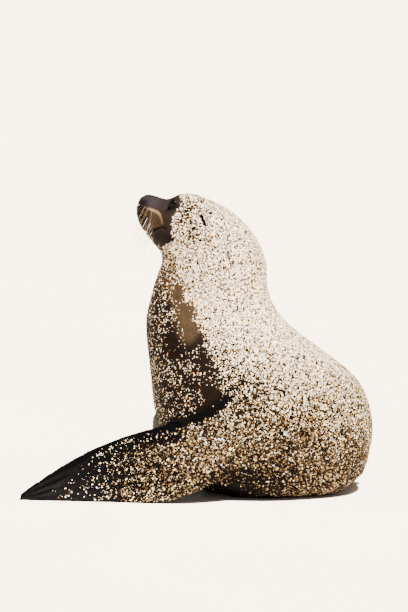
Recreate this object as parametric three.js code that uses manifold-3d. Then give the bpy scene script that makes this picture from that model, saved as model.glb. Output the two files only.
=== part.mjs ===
// A young Galapagos sea lion sitting upright with its snout raised, life size, as a still model.
//
// Millimetres, +Z up. The floor is z = 0, the chest looks towards -X and the left side is towards -Y.
// Head, neck, trunk and tail are one loft through named stations, parted by thin cuts. The hips lie
// rolled onto the animal's right, so that both hind flippers rest on the floor on that side.

import * as THREE from 'three';
import { mergeVertices } from 'three/addons/utils/BufferGeometryUtils.js';
import Module from 'manifold-3d';

const wasm = await Module();
wasm.setup();

const partGap = 0.3; // left by the cuts between neighbouring lengths of the body
const rootGap = 0.6; // left round what grows out of the body
const cutReach = 1200; // side of the thin slabs that part the body
const hipCut = 130; // along the straight spine, as the stations are
const tailCut = 266;
const bodySides = 40;
const ringsPerStation = 2;

const hipSwing = { start: -60, end: 252, radius: 290, tailRadius: 50 }; // bend of the spine in plan

const eyeballRadius = 13.5;
const eyeCentre = { x: -163, y: 40, z: 643.5 };
const earSize = { length: 40, width: 13, thickness: 8 };
const earRoot = { x: -96, y: 47, z: 630 };
const earTip = { x: -76, y: 72, z: 603 };

// Each station is a slice from the back line to the belly line, both [x, z] before the hips swing,
// with its greatest half width and how far up the slice that width lies.
const stations = {
  noseTip: { back: [-263, 651], belly: [-266, 634], halfWidth: 11, widest: 0.5 },
  nostrils: { back: [-250, 660], belly: [-262, 615], halfWidth: 25, widest: 0.45 },
  whiskerPads: { back: [-230, 658], belly: [-256, 597], halfWidth: 38, widest: 0.42 },
  muzzle: { back: [-198, 650], belly: [-238, 565], halfWidth: 45, widest: 0.42 },
  eyes: { back: [-169, 663], belly: [-216, 539], halfWidth: 56, widest: 0.5 },
  crown: { back: [-143, 667], belly: [-206, 525], halfWidth: 64, widest: 0.52 },
  ears: { back: [-94, 651], belly: [-203, 506], halfWidth: 73, widest: 0.5 },
  nape: { back: [-35, 621], belly: [-215, 480], halfWidth: 86, widest: 0.48 },
  upperNeck: { back: [16, 565], belly: [-228, 441], halfWidth: 100, widest: 0.48 },
  midNeck: { back: [36, 512], belly: [-235, 412], halfWidth: 112, widest: 0.48 },
  lowerNeck: { back: [38, 460], belly: [-239, 385], halfWidth: 126, widest: 0.48 },
  withers: { back: [58, 410], belly: [-237, 346], halfWidth: 143, widest: 0.48 },
  shoulders: { back: [97, 367], belly: [-231, 306], halfWidth: 155, widest: 0.46 },
  chest: { back: [142, 331], belly: [-224, 255], halfWidth: 163, widest: 0.44 },
  ribs: { back: [185, 297], belly: [-217, 190], halfWidth: 168, widest: 0.42 },
  waist: { back: [224, 263], belly: [-188, 95], halfWidth: 170, widest: 0.4 },
  paunch: { back: [249, 225], belly: [-130, 16], halfWidth: 166, widest: 0.38 },
  rump: { back: [261, 182], belly: [-40, -14], halfWidth: 156, widest: 0.36 },
  haunches: { back: [264, 139], belly: [60, -16], halfWidth: 128, widest: 0.36 },
  seat: { back: [256, 98], belly: [140, -12], halfWidth: 98, widest: 0.38 },
  tailRoot: { back: [268, 62], belly: [208, 4], halfWidth: 34, widest: 0.5 },
  tailMiddle: { back: [298, 44], belly: [264, 14], halfWidth: 20, widest: 0.5 },
  tailTip: { back: [332, 28], belly: [326, 16], halfWidth: 9, widest: 0.5 },
};
const stationNames = Object.keys(stations);

// Soft swellings and hollows of the flesh, on both sides, before the hips swing.
const swellings = [
  { at: [-250, 24, 622], reach: 19, height: 5 }, // whisker pads
  { at: [-226, 32, 609], reach: 20, height: 4 },
  { at: [-160, 50, 655], reach: 15, height: 5 }, // brows
  { at: [-186, 46, 638], reach: 13, height: -5 }, // in front of the eyes
  { at: [-170, 66, 590], reach: 34, height: 5 }, // cheeks
  { at: [-70, 150, 250], reach: 90, height: 10 }, // shoulders
  { at: [40, 165, 130], reach: 60, height: -9 }, // flank behind the elbow
  { at: [166, 128, 18], reach: 58, height: 17 }, // haunch, spread by its weight on the floor
  { at: [214, 100, 14], reach: 42, height: 8 },
];

// Foreflippers: the leading and trailing edges with the thickness between them, from inside the
// body to the tip. The left one lies straight ahead, the right one turns out at the wrist.
const foreflipperLeft = [
  { lead: [8, -62, 212], trail: [84, -100, 98], thick: 46 },
  { lead: [-52, -122, 184], trail: [-12, -168, 48], thick: 80 },
  { lead: [-110, -140, 168], trail: [-76, -202, 18], thick: 70 },
  { lead: [-165, -141, 158], trail: [-128, -216, 2], thick: 56 },
  { lead: [-220, -140, 142], trail: [-186, -230, -4], thick: 44 },
  { lead: [-275, -143, 121], trail: [-246, -243, -3], thick: 33 },
  { lead: [-330, -156, 96], trail: [-306, -257, -3], thick: 24 },
  { lead: [-380, -181, 66], trail: [-362, -271, -2], thick: 16 },
  { lead: [-421, -222, 36], trail: [-408, -283, -2], thick: 10 },
  { lead: [-449, -268, 12], trail: [-443, -290, -1], thick: 6 },
];
const foreflipperRight = [
  { lead: [8, 62, 212], trail: [84, 100, 98], thick: 46 },
  { lead: [-54, 120, 186], trail: [-10, 170, 50], thick: 80 },
  { lead: [-118, 136, 174], trail: [-66, 212, 20], thick: 70 },
  { lead: [-178, 142, 168], trail: [-112, 238, 2], thick: 56 },
  { lead: [-238, 152, 162], trail: [-154, 270, -4], thick: 44 },
  { lead: [-282, 176, 150], trail: [-192, 304, -3], thick: 33 },
  { lead: [-310, 208, 126], trail: [-230, 338, -3], thick: 24 },
  { lead: [-334, 250, 92], trail: [-270, 368, -2], thick: 16 },
  { lead: [-352, 302, 52], trail: [-312, 392, -2], thick: 10 },
  { lead: [-362, 352, 14], trail: [-350, 398, -1], thick: 6 },
];

// Hind flippers lie flat: a root, a heading in degrees from +X, the length and greatest width.
const hindFlippers = {
  right: { root: [92, 112], heading: 123, length: 325, width: 130 },
  left: { root: [161, 136], heading: 107, length: 318, width: 116 },
};
const hindToes = 5;
const hindSole = 2.5; // how far the sole is flattened where it rests
const hindClaw = { length: 13, width: 4, height: 4 };
const hindClawPlace = 0.7;

const coat = new THREE.MeshStandardMaterial({ color: '#d8c8a6', roughness: 0.95, metalness: 0 });
const bareSkin = new THREE.MeshStandardMaterial({ color: '#2b2724', roughness: 0.6, metalness: 0 });
const wetEye = new THREE.MeshStandardMaterial({ color: '#100c0a', roughness: 0.08, metalness: 0 });
const horn = new THREE.MeshStandardMaterial({ color: '#3a322b', roughness: 0.5, metalness: 0 });

const lerp = THREE.MathUtils.lerp;
const smoothstep = THREE.MathUtils.smoothstep;
const signedPower = (value, power) => Math.sign(value) * Math.abs(value) ** power;

// A closed skin through rings of points, pointAt(ringIndex, sideIndex), with a fan at each end.
function loft(ringCount, sideCount, pointAt) {
  const positions = [];
  const middle = new THREE.Vector3();
  const triangles = [];
  for (let ring = 0; ring < ringCount; ring++) {
    for (let side = 0; side < sideCount; side++) positions.push(...pointAt(ring, side));
  }
  for (let ring = 0; ring < ringCount - 1; ring++) {
    for (let side = 0; side < sideCount; side++) {
      const next = (side + 1) % sideCount;
      const [a, b] = [ring * sideCount + side, ring * sideCount + next];
      triangles.push(a, b, b + sideCount, a, b + sideCount, a + sideCount);
    }
  }
  for (const ring of [0, ringCount - 1]) {
    const first = ring * sideCount;
    middle.set(0, 0, 0);
    for (let side = 0; side < sideCount; side++) {
      middle.add(new THREE.Vector3().fromArray(positions, 3 * (first + side)));
    }
    const hub = positions.length / 3;
    positions.push(...middle.divideScalar(sideCount));
    for (let side = 0; side < sideCount; side++) {
      const next = first + (side + 1) % sideCount;
      triangles.push(...(ring === 0 ? [hub, next, first + side] : [hub, first + side, next]));
    }
  }
  const geometry = new THREE.BufferGeometry();
  geometry.setAttribute('position', new THREE.Float32BufferAttribute(positions, 3));
  geometry.setIndex(triangles);
  return geometry;
}

// The same skin let out all round by the gap that keeps a neighbour clear of it.
function letOut(geometry) {
  geometry.computeVertexNormals();
  const { position, normal } = geometry.attributes;
  const point = new THREE.Vector3();
  const outward = new THREE.Vector3();
  for (let index = 0; index < position.count; index++) {
    outward.fromBufferAttribute(normal, index);
    point.fromBufferAttribute(position, index).addScaledVector(outward, rootGap);
    position.setXYZ(index, ...point);
  }
  return geometry;
}

function solidFrom(geometry) {
  const bare = geometry.clone();
  bare.deleteAttribute('normal');
  bare.deleteAttribute('uv');
  const merged = mergeVertices(bare, 1e-3);
  return new wasm.Manifold(new wasm.Mesh({
    numProp: 3,
    vertProperties: new Float32Array(merged.attributes.position.array),
    triVerts: new Uint32Array(merged.index.array),
  }));
}

function meshFrom(solid, name, material) {
  const { vertProperties, triVerts } = solid.getMesh();
  const geometry = new THREE.BufferGeometry();
  geometry.setAttribute('position', new THREE.BufferAttribute(vertProperties, 3));
  geometry.setIndex(new THREE.BufferAttribute(triVerts, 1));
  const mesh = new THREE.Mesh(geometry, material);
  mesh.name = name;
  return mesh;
}

// Where a place beside the straight spine comes to lie once the hips have swung to the right: an
// arc of hipSwing.radius, then the tighter arc of the tail.
function swing(x, y) {
  if (x <= hipSwing.start) return { x, y, angle: 0 };
  const arcs = [
    { from: hipSwing.start, to: Math.min(x, hipSwing.end), radius: hipSwing.radius },
    { from: hipSwing.end, to: x, radius: hipSwing.tailRadius },
  ];
  const path = { x: hipSwing.start, y: 0, angle: 0 };
  for (const { from, to, radius } of arcs) {
    if (to <= from) continue;
    const after = path.angle + (to - from) / radius;
    path.x += radius * (Math.sin(after) - Math.sin(path.angle));
    path.y += radius * (Math.cos(path.angle) - Math.cos(after));
    path.angle = after;
  }
  return {
    x: path.x - y * Math.sin(path.angle),
    y: path.y + y * Math.cos(path.angle),
    angle: path.angle,
  };
}

// One smooth curve through a value of every station, read at any place along them.
function alongStations(valueOf) {
  const points = stationNames.map((name) => new THREE.Vector3(...valueOf(stations[name])));
  return new THREE.CatmullRomCurve3(points, false, 'centripetal');
}
const backLine = alongStations(({ back }) => [back[0], 0, back[1]]);
const bellyLine = alongStations(({ belly }) => [belly[0], 0, belly[1]]);
const widthLine = alongStations(({ halfWidth, widest }) => [halfWidth, 100 * widest, 0]);

// The body's skin from nose to tail.
function bodySkin() {
  const ringCount = (stationNames.length - 1) * ringsPerStation + 1;
  const roundness = 0.92; // below 1 the slices are fuller than an ellipse
  return loft(ringCount, bodySides, (ring, side) => {
    const place = ring / (ringCount - 1);
    const back = backLine.getPoint(place);
    const belly = bellyLine.getPoint(place);
    const [halfWidth, widest] = widthLine.getPoint(place).toArray();
    const turn = -2 * Math.PI * side / bodySides;
    const up = signedPower(Math.cos(turn), roundness);
    const out = signedPower(Math.sin(turn), roundness);
    const middle = belly.clone().lerp(back, widest / 100);
    const point = middle.clone().lerp(up > 0 ? back : belly, Math.abs(up));
    point.y = halfWidth * out;
    const outward = point.clone().sub(middle).normalize();
    let swell = 0;
    for (const { at, reach, height } of swellings) {
      const away = Math.hypot(point.x - at[0], Math.abs(point.y) - at[1], point.z - at[2]);
      swell += height * Math.exp(-((away / reach) ** 2));
    }
    point.addScaledVector(outward, swell);
    const swung = swing(point.x, point.y);
    return [swung.x, swung.y, Math.max(point.z, 0)];
  });
}

// A flipper blade between its two edges, thickest near the leading one.
function foreflipperSkin(edges) {
  const sides = 16;
  const handed = Math.sign(edges[0].lead[1]);
  const leadLine = new THREE.CatmullRomCurve3(edges.map(({ lead }) => new THREE.Vector3(...lead)));
  const trailLine = new THREE.CatmullRomCurve3(edges.map(({ trail }) => new THREE.Vector3(...trail)));
  const thickLine = new THREE.CatmullRomCurve3(edges.map(({ thick }) => new THREE.Vector3(thick, 0, 0)));
  const ringCount = (edges.length - 1) * 2 + 1;
  return loft(ringCount, sides, (ring, side) => {
    const place = ring / (ringCount - 1);
    const lead = leadLine.getPoint(place);
    const trail = trailLine.getPoint(place);
    const across = lead.clone().sub(trail);
    const along = leadLine.getTangent(place);
    const face = along.cross(across).multiplyScalar(-handed).normalize();
    const turn = -handed * 2 * Math.PI * side / sides;
    const edgeward = (1 + signedPower(Math.cos(turn), 0.8)) / 2;
    const taper = lerp(smoothstep(place, 0.2, 0.6) * -0.55 + 0.95, 1, edgeward ** 1.2);
    const half = thickLine.getPoint(place).x / 2;
    const point = trail.clone().lerp(lead, edgeward);
    point.addScaledVector(face, Math.sin(turn) * half * taper);
    return [point.x, point.y, Math.max(point.z, 0)];
  });
}

// How thick a hind flipper is at a place from its root, 0, to its tip, 1.
function hindThickness(place) {
  return lerp(92, 34, smoothstep(place, 0, 0.45)) * lerp(1, 0.24, smoothstep(place, 0.4, 0.9));
}

// A hind flipper lying on the floor: narrow ankle, wide foot and a scalloped end, one lobe a toe.
function hindFlipperSkin({ root, heading, length, width }) {
  const sides = 22;
  const ringCount = 11;
  const angle = THREE.MathUtils.degToRad(heading);
  const [aheadX, aheadY] = [Math.cos(angle), Math.sin(angle)];
  return loft(ringCount, sides, (ring, side) => {
    const place = ring / (ringCount - 1);
    const turn = 2 * Math.PI * side / sides;
    const across = Math.cos(turn);
    const spread = lerp(0.56, 1, smoothstep(place, 0.25, 0.85));
    const scallop = Math.abs(Math.cos(hindToes * Math.PI * (across + 1) / 2)) * smoothstep(place, 0.6, 1);
    const reach = place * length * (1 - 0.05 * scallop - 0.1 * across * across * place);
    const sideways = across * width / 2 * spread;
    const height = (Math.sin(turn) + 1) / 2 * hindThickness(place) - hindSole;
    return [
      root[0] + aheadX * reach - aheadY * sideways,
      root[1] + aheadY * reach + aheadX * sideways,
      Math.max(height, 0),
    ];
  });
}

// A nail on the upper face of a middle toe, bedded in the flipper.
function hindClawSolid({ root, heading, length, width }, toe) {
  const angle = THREE.MathUtils.degToRad(heading);
  const across = toe * 2 / hindToes;
  const reach = hindClawPlace * length;
  const sideways = across * width / 2 * 0.95;
  const thickness = hindThickness(hindClawPlace);
  const top = thickness * (1 + Math.sqrt(1 - across * across)) / 2 - hindSole;
  const claw = new THREE.SphereGeometry(0.5, 8, 6);
  claw.scale(hindClaw.length, hindClaw.width, hindClaw.height);
  claw.rotateZ(angle);
  claw.translate(
    root[0] + Math.cos(angle) * reach - Math.sin(angle) * sideways,
    root[1] + Math.sin(angle) * reach + Math.cos(angle) * sideways,
    top + hindClaw.height / 6,
  );
  return solidFrom(claw);
}

// The flipper without any sliver that the body cuts off at its root.
function largestOf(solid) {
  return solid.decompose().sort((a, b) => b.volume() - a.volume())[0];
}

function eyeball(handed, socketGap = 0) {
  const globe = new THREE.SphereGeometry(eyeballRadius + socketGap, 14, 8);
  globe.translate(eyeCentre.x, handed * eyeCentre.y, eyeCentre.z);
  return solidFrom(globe);
}

// A small rolled ear: a pointed leaf that stands out of the head from its root to its tip.
function earSolid(handed) {
  const sides = 12;
  const ringCount = 9;
  const root = new THREE.Vector3(earRoot.x, handed * earRoot.y, earRoot.z);
  const tip = new THREE.Vector3(earTip.x, handed * earTip.y, earTip.z);
  const along = tip.clone().sub(root).normalize();
  const outward = new THREE.Vector3(0, handed, 0);
  const broad = along.clone().cross(outward).normalize();
  const deep = broad.clone().cross(along).normalize();
  const skin = loft(ringCount, sides, (ring, side) => {
    const place = ring / (ringCount - 1);
    const turn = -2 * Math.PI * side / sides;
    const leaf = Math.sin(Math.PI * (0.2 + 0.76 * place)) ** 0.8;
    const point = root.clone().addScaledVector(along, place * earSize.length);
    point.addScaledVector(broad, Math.cos(turn) * leaf * earSize.width / 2);
    point.addScaledVector(deep, Math.sin(turn) * leaf * earSize.thickness / 2);
    return point.toArray();
  });
  return solidFrom(skin);
}

// A thin slab across the body where it crosses the spine at x, leaning back and swung with the hips.
function slabAcross(x, height = 0, lean = 0) {
  const placed = swing(x, 0);
  const slab = new THREE.BoxGeometry(partGap, cutReach, cutReach);
  slab.rotateY(lean);
  slab.rotateZ(placed.angle);
  slab.translate(placed.x, placed.y, height);
  return solidFrom(slab);
}

function slabAtStation({ back, belly }) {
  const lean = Math.atan2(back[0] - belly[0], back[1] - belly[1]);
  return slabAcross((back[0] + belly[0]) / 2, (back[1] + belly[1]) / 2, lean);
}

// The body loft, with a socket for each eye, parted into its named lengths from nose to tail.
function bodyMeshes() {
  let flesh = solidFrom(bodySkin());
  for (const handed of [-1, 1]) flesh = flesh.subtract(eyeball(handed, partGap));
  const cuts = [
    slabAtStation(stations.nostrils),
    slabAtStation(stations.nape),
    slabAtStation(stations.withers),
    slabAcross(hipCut),
    slabAcross(tailCut),
  ];
  for (const cut of cuts) flesh = flesh.subtract(cut);
  const foremost = (a, b) => a.boundingBox().min[0] - b.boundingBox().min[0];
  const lengths = flesh.decompose().sort(foremost);
  const names = ['nose', 'head', 'neck', 'trunk', 'hindquarters', 'tail'];
  return names.map((name, index) => meshFrom(lengths[index], name, name === 'nose' ? bareSkin : coat));
}

const group = new THREE.Group();
group.add(...bodyMeshes());
const bodyClearance = solidFrom(letOut(bodySkin()));

for (const [sideName, handed] of [['left', -1], ['right', 1]]) {
  group.add(meshFrom(eyeball(handed), `eye_${sideName}`, wetEye));
  group.add(meshFrom(earSolid(handed).subtract(bodyClearance), `ear_${sideName}`, bareSkin));
  const edges = handed < 0 ? foreflipperLeft : foreflipperRight;
  const foreflipper = solidFrom(foreflipperSkin(edges)).subtract(bodyClearance);
  group.add(meshFrom(foreflipper, `foreflipper_${sideName}`, coat));
  const hind = hindFlippers[sideName];
  const hindFlipper = largestOf(solidFrom(hindFlipperSkin(hind)).subtract(bodyClearance));
  group.add(meshFrom(hindFlipper, `hindflipper_${sideName}`, bareSkin));
  const hindClearance = solidFrom(letOut(hindFlipperSkin(hind)));
  for (const toe of [-1, 0, 1]) {
    const claw = hindClawSolid(hind, toe).subtract(hindClearance);
    group.add(meshFrom(claw, `hind_claw_${sideName}_${toe + 2}`, horn));
  }
}

// The origin is the middle of the outline on the floor.
const middle = new THREE.Box3().setFromObject(group).getCenter(new THREE.Vector3());
group.position.set(-middle.x, -middle.y, 0);

export default group;
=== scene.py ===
import math
import bpy
import bmesh
import numpy as np
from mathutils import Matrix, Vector, noise
from mathutils.bvhtree import BVHTree


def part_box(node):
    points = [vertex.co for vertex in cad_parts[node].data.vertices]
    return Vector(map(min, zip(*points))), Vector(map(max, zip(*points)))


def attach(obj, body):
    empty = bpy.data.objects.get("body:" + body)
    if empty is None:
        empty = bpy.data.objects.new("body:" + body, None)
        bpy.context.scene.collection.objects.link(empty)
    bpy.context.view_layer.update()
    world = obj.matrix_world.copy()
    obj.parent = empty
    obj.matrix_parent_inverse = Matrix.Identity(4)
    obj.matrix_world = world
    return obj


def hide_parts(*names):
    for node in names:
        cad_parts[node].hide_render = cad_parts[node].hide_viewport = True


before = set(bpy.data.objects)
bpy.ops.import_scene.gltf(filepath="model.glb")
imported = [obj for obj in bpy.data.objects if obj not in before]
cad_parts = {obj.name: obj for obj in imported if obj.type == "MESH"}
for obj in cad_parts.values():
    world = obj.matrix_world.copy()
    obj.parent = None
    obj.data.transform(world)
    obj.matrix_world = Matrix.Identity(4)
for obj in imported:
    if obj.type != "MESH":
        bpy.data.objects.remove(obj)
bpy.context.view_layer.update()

mm = 0.001


# numbers, points and meshes

def hexToLinear(code):
    channels = [int(code[i:i + 2], 16) / 255 for i in (1, 3, 5)]
    return tuple(c / 12.92 if c <= 0.04045 else ((c + 0.055) / 1.055) ** 2.4 for c in channels) + (1.0,)


def fade(low, high, values):
    # 0 at the first value, 1 at the second, with a smooth rise between
    t = np.clip((values - low) / (high - low), 0, 1)
    return t * t * (3 - 2 * t)


def readPoints(mesh, what="co"):
    flat = np.empty(len(mesh.vertices) * 3)
    mesh.vertices.foreach_get(what, flat)
    return flat.reshape(-1, 3)


def writePoints(mesh, points):
    mesh.vertices.foreach_set("co", np.asarray(points, float).ravel())
    mesh.update()


def readNormals(mesh):
    return readPoints(mesh, "normal")


def bell(away, width):
    # 1 at no distance, falling off smoothly over the width
    return np.exp(-(away / width) ** 2)


def distances(points, place):
    return np.linalg.norm(points - np.asarray(place), axis=1)


def unitVector(vector):
    return vector / np.linalg.norm(vector)


def oneSide(p, side=1):
    # every point brought to one side of the animal
    return np.column_stack([p[:, 0], side * np.abs(p[:, 1]), p[:, 2]])


def surfaceTree(mesh):
    corners = [v.co.copy() for v in mesh.vertices]
    return BVHTree.FromPolygons(corners, [tuple(f.vertices) for f in mesh.polygons])


def smoothShade(mesh):
    for face in mesh.polygons:
        face.use_smooth = True


def addValues(mesh, name, values, kind="FLOAT", part="value"):
    layer = mesh.attributes.new(name, kind, "POINT")
    layer.data.foreach_set(part, np.asarray(values, np.float32).ravel())


def newObject(name, data):
    piece = bpy.data.objects.new(name, data)
    bpy.context.scene.collection.objects.link(piece)
    return piece


def bakedCopy(piece):
    # the evaluated mesh as plain data, with its modifiers gone
    graph = bpy.context.evaluated_depsgraph_get()
    graph.update()
    mesh = bpy.data.meshes.new_from_object(piece.evaluated_get(graph), preserve_all_data_layers=True,
                                           depsgraph=graph)
    piece.modifiers.clear()
    old = piece.data
    piece.data = mesh
    bpy.data.meshes.remove(old)
    return piece


def relax(mesh, weight, rounds):
    # moves each vertex towards the mean of its neighbours, by its weight
    ends = np.empty(len(mesh.edges) * 2, np.int64)
    mesh.edges.foreach_get("vertices", ends)
    ends = ends.reshape(-1, 2)
    count = len(mesh.vertices)
    neighbours = np.bincount(ends.ravel(), minlength=count)[:, None]
    points = readPoints(mesh)
    pull = np.broadcast_to(np.asarray(weight, float), (count,))[:, None]
    for _ in range(rounds):
        total = np.zeros_like(points)
        for axis in range(3):
            total[:, axis] = np.bincount(ends[:, 0], points[ends[:, 1], axis], count)
            total[:, axis] += np.bincount(ends[:, 1], points[ends[:, 0], axis], count)
        points += pull * (total / neighbours - points)
    writePoints(mesh, points)


def nodeCentre(name):
    low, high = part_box(name)
    return np.array((low + high) / 2)


# where things are on the animal: millimetres from a point on the floor in its plane of symmetry,
# x to its back, y to its right, z up

eyeLevel = {"x": -163, "z": 643.5}
betweenEyes = (nodeCentre("eye_left") + nodeCentre("eye_right")) / 2 / mm
toOrigin = betweenEyes - np.array([eyeLevel["x"], 0, eyeLevel["z"]])


def onAnimal(points):
    return points / mm - toOrigin


def inModel(places):
    return (np.asarray(places, float) + toOrigin) * mm


def readPlaces(mesh):
    return onAnimal(readPoints(mesh))


def writePlaces(mesh, p):
    writePoints(mesh, inModel(p))


# camera

view = {"azimuth": 20, "elevation": 8, "distance": 8.0, "aim": (-0.103, 0.414), "frameHeight": 1.377}


def makeCamera():
    a, e = math.radians(view["azimuth"]), math.radians(view["elevation"])
    right = Vector((math.cos(a), math.sin(a), 0))
    up = Vector((-math.sin(a) * math.sin(e), math.cos(a) * math.sin(e), math.cos(e)))
    back = Vector((math.sin(a) * math.cos(e), -math.cos(a) * math.cos(e), math.sin(e)))
    target = Vector((toOrigin[0], toOrigin[1], 0)) * mm + right * view["aim"][0] + up * view["aim"][1]
    data = bpy.data.cameras.new("camera")
    data.sensor_fit = "VERTICAL"
    data.sensor_height = 24
    data.lens = 24 * view["distance"] / view["frameHeight"]
    data.clip_end = 100
    camera = newObject("camera", data)
    camera.location = target + back * view["distance"]
    camera.rotation_euler = back.to_track_quat("Z", "Y").to_euler()
    bpy.context.scene.camera = camera


makeCamera()
print("camera set")


# distances, soft patches and the lines that the markings follow

def lineDistance(points, line):
    # distance to a chain of points, and the direction of its nearest piece
    best = np.full(len(points), np.inf)
    heading = np.zeros_like(points)
    line = np.asarray(line, float)
    for start, end in zip(line[:-1], line[1:]):
        span = end - start
        t = np.clip((points - start) @ span / (span @ span), 0, 1)
        away = np.linalg.norm(points - start - t[:, None] * span, axis=1)
        nearer = away < best
        best[nearer] = away[nearer]
        heading[nearer] = unitVector(span)
    return best, heading


def lineAway(points, line):
    return lineDistance(points, line)[0]


def patch(points, centre, reach, softness=0.35):
    # 1 inside an ellipsoid, 0 outside, with a soft edge
    away = np.linalg.norm((points - np.asarray(centre)) / np.asarray(reach), axis=1)
    return fade(1 + softness, 1 - softness, away)


def noiseAt(points, size, seed):
    offset = Vector((seed * 17.3, seed * 5.1, seed * 11.7))
    return np.array([noise.noise(Vector(p) / size + offset) for p in points])


# edges of the foreflippers, and the middle lines of the body and the hind flippers
lines = {
    "leftLead": [(-6, -166, 214), (-57, -171, 188), (-110, -158, 172), (-220, -140, 142), (-275, -143, 121),
                 (-330, -156, 96), (-380, -181, 66), (-421, -222, 36), (-449, -268, 12)],
    "leftTrail": [(84, -100, 98), (-12, -168, 48), (-76, -202, 18), (-186, -230, -4), (-246, -243, -3),
                  (-306, -257, -3), (-362, -271, -2), (-408, -283, -2), (-443, -290, -1)],
    "rightLead": [(-6, 166, 214), (-57, 171, 188), (-116, 150, 176), (-238, 152, 162), (-282, 176, 150),
                  (-310, 208, 126), (-334, 250, 92), (-352, 302, 52), (-362, 352, 14)],
    "rightTrail": [(84, 100, 98), (-10, 170, 50), (-66, 212, 20), (-154, 270, -4), (-192, 304, -3),
                   (-230, 338, -3), (-270, 368, -2), (-312, 392, -2), (-350, 398, -1)],
    "midline": [(-264, 0, 642), (-200, 0, 610), (-148, 0, 580), (-112, 0, 520), (-98, 0, 455), (-80, 0, 380),
                (-40, 0, 300), (20, 0, 190), (90, 30, 110), (150, 60, 70), (190, 100, 50)],
    "leftHind": [(174, 128, 30), (80, 438, 8)],
    "rightHind": [(92, 112, 30), (-85, 384, 8)],
}


# skin

flipperSides = ("left", "right")


def flipperPlace(p, side):
    # place across it, 0 at the leading edge and 1 at the trailing one; distance behind the leading edge,
    # from its middle line and outward from the body; and its heading
    lead, trail = lines[side + "Lead"], lines[side + "Trail"]
    ahead, heading = lineDistance(p, lead)
    behind = lineAway(p, trail)
    off = lineAway(p, (np.array(lead, float) + np.array(trail, float)) / 2)
    out = -p[:, 0] if side == "left" else np.abs(p[:, 1]) * 0.9 - p[:, 0] * 0.55
    return ahead / (ahead + behind + 1e-6), ahead, off, out, heading


def bladePart(p):
    # 1 on the thin outer parts of the flippers
    part = np.zeros(len(p))
    for side in flipperSides:
        _, _, off, out, _ = flipperPlace(p, side)
        part = np.maximum(part, fade(125, 105, off) * fade(110, 160, out))
    for name in ("leftHind", "rightHind"):
        part = np.maximum(part, fade(95, 80, lineAway(p, lines[name])) * fade(180, 230, p[:, 1]))
    return part


skinLook = {"voxel": 5.4, "coatDepth": 2.0, "headReach": 118, "faceReach": 88, "eyeReach": 20,
            "bladeSwell": 1.7, "thinnestBlade": 2.6, "eyeOpening": (9.4, 7.6), "lidThickness": 1.5}
fleshNodes = ["nose", "head", "neck", "trunk", "hindquarters", "tail", "foreflipper_left",
              "foreflipper_right", "hindflipper_left", "hindflipper_right"]


def joinedFlesh():
    joined = bmesh.new()
    for name in fleshNodes + ["eye_left", "eye_right"]:
        joined.from_mesh(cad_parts[name].data)
    mesh = bpy.data.meshes.new("skin")
    joined.to_mesh(mesh)
    joined.free()
    # the blades are swollen while the skin is closed, so that their thin edges stay whole
    p = readPlaces(mesh)
    p += readNormals(mesh) * (skinLook["bladeSwell"] * bladePart(p))[:, None]
    writePlaces(mesh, p)
    return newObject("skin", mesh)


def keepLargest(mesh):
    parts = bmesh.new()
    parts.from_mesh(mesh)
    left, largest = set(parts.verts), set()
    while left:
        shell, rim = set(), {next(iter(left))}
        while rim:
            shell |= rim
            rim = {edge.other_vert(vertex) for vertex in rim for edge in vertex.link_edges} - shell
        left -= shell
        largest = max(largest, shell, key=len)
    bmesh.ops.delete(parts, geom=[v for v in parts.verts if v not in largest], context="VERTS")
    parts.to_mesh(mesh)
    parts.free()


def refine(mesh, inside):
    # splits the edges whose two ends lie inside
    fine = bmesh.new()
    fine.from_mesh(mesh)
    fine.verts.ensure_lookup_table()
    edges = [e for e in fine.edges if inside[e.verts[0].index] and inside[e.verts[1].index]]
    bmesh.ops.subdivide_edges(fine, edges=edges, cuts=1, use_grid_fill=True, smooth=0.0)
    fine.to_mesh(mesh)
    fine.free()


def smoothOut(mesh, rounds, weight=1.0):
    # evens the surface without shrinking it
    for _ in range(rounds):
        relax(mesh, 0.50 * weight, 1)
        relax(mesh, -0.52 * weight, 1)


def makeSkin():
    skin = joinedFlesh()
    close = skin.modifiers.new("close", "REMESH")
    close.mode = "VOXEL"
    close.voxel_size = skinLook["voxel"] * mm
    bakedCopy(skin)
    keepLargest(skin.data)
    smoothOut(skin.data, 10)
    relax(skin.data, 0.5, 2)
    relax(skin.data, 0.5 * bladePart(readPlaces(skin.data)), 4)
    # finer over the head, and finer again over the face
    for middle, reach, margin in (((-150, 0, 600), skinLook["headReach"], 8),
                                  ((-222, 0, 618), skinLook["faceReach"], 4)):
        refine(skin.data, distances(readPlaces(skin.data), middle) < reach)
        relax(skin.data, 0.5 * (distances(readPlaces(skin.data), middle) < reach + margin), 3)
    return skin


skin = makeSkin()
print("skin closed", len(skin.data.vertices), "vertices", len(skin.data.polygons), "faces")


# the skin's folds and features

def awayXZ(p, line):
    return lineAway(p[:, [0, 2]], line)


faceLines = {
    "mouth": [(-252, 582), (-242, 578), (-228, 579), (-212, 586), (-196, 592), (-182, 595), (-173, 590)],
    "padRim": [(-246, 640), (-232, 634), (-219, 630), (-206, 626), (-196, 621), (-189, 612), (-185, 603)],
    "lip": [(-240, 585), (-226, 586), (-211, 592), (-198, 597), (-186, 602)],
}
gaze = np.array([-0.34, 0.76, 0.56])


def padEdges(x):
    # heights of the whisker pad's upper edge and of the lip below it
    return (np.interp(x, [-246, -219, -196, -189, -185], [640, 630, 621, 612, 603]),
            np.interp(x, [-250, -240, -226, -211, -198, -186], [584, 583, 584, 590, 595, 600]))


# brow, hollow before the eye and cheek bone: height, middle and reach
faceBumps = [(3.0, (-158, 33, 667), 12), (-1.8, (-184, 40, 645), 13), (1.5, (-152, 56, 622), 22)]


def nosePad(p):
    return patch(p, (-262, 0, 638), (17, 26, 22), 0.25)


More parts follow.
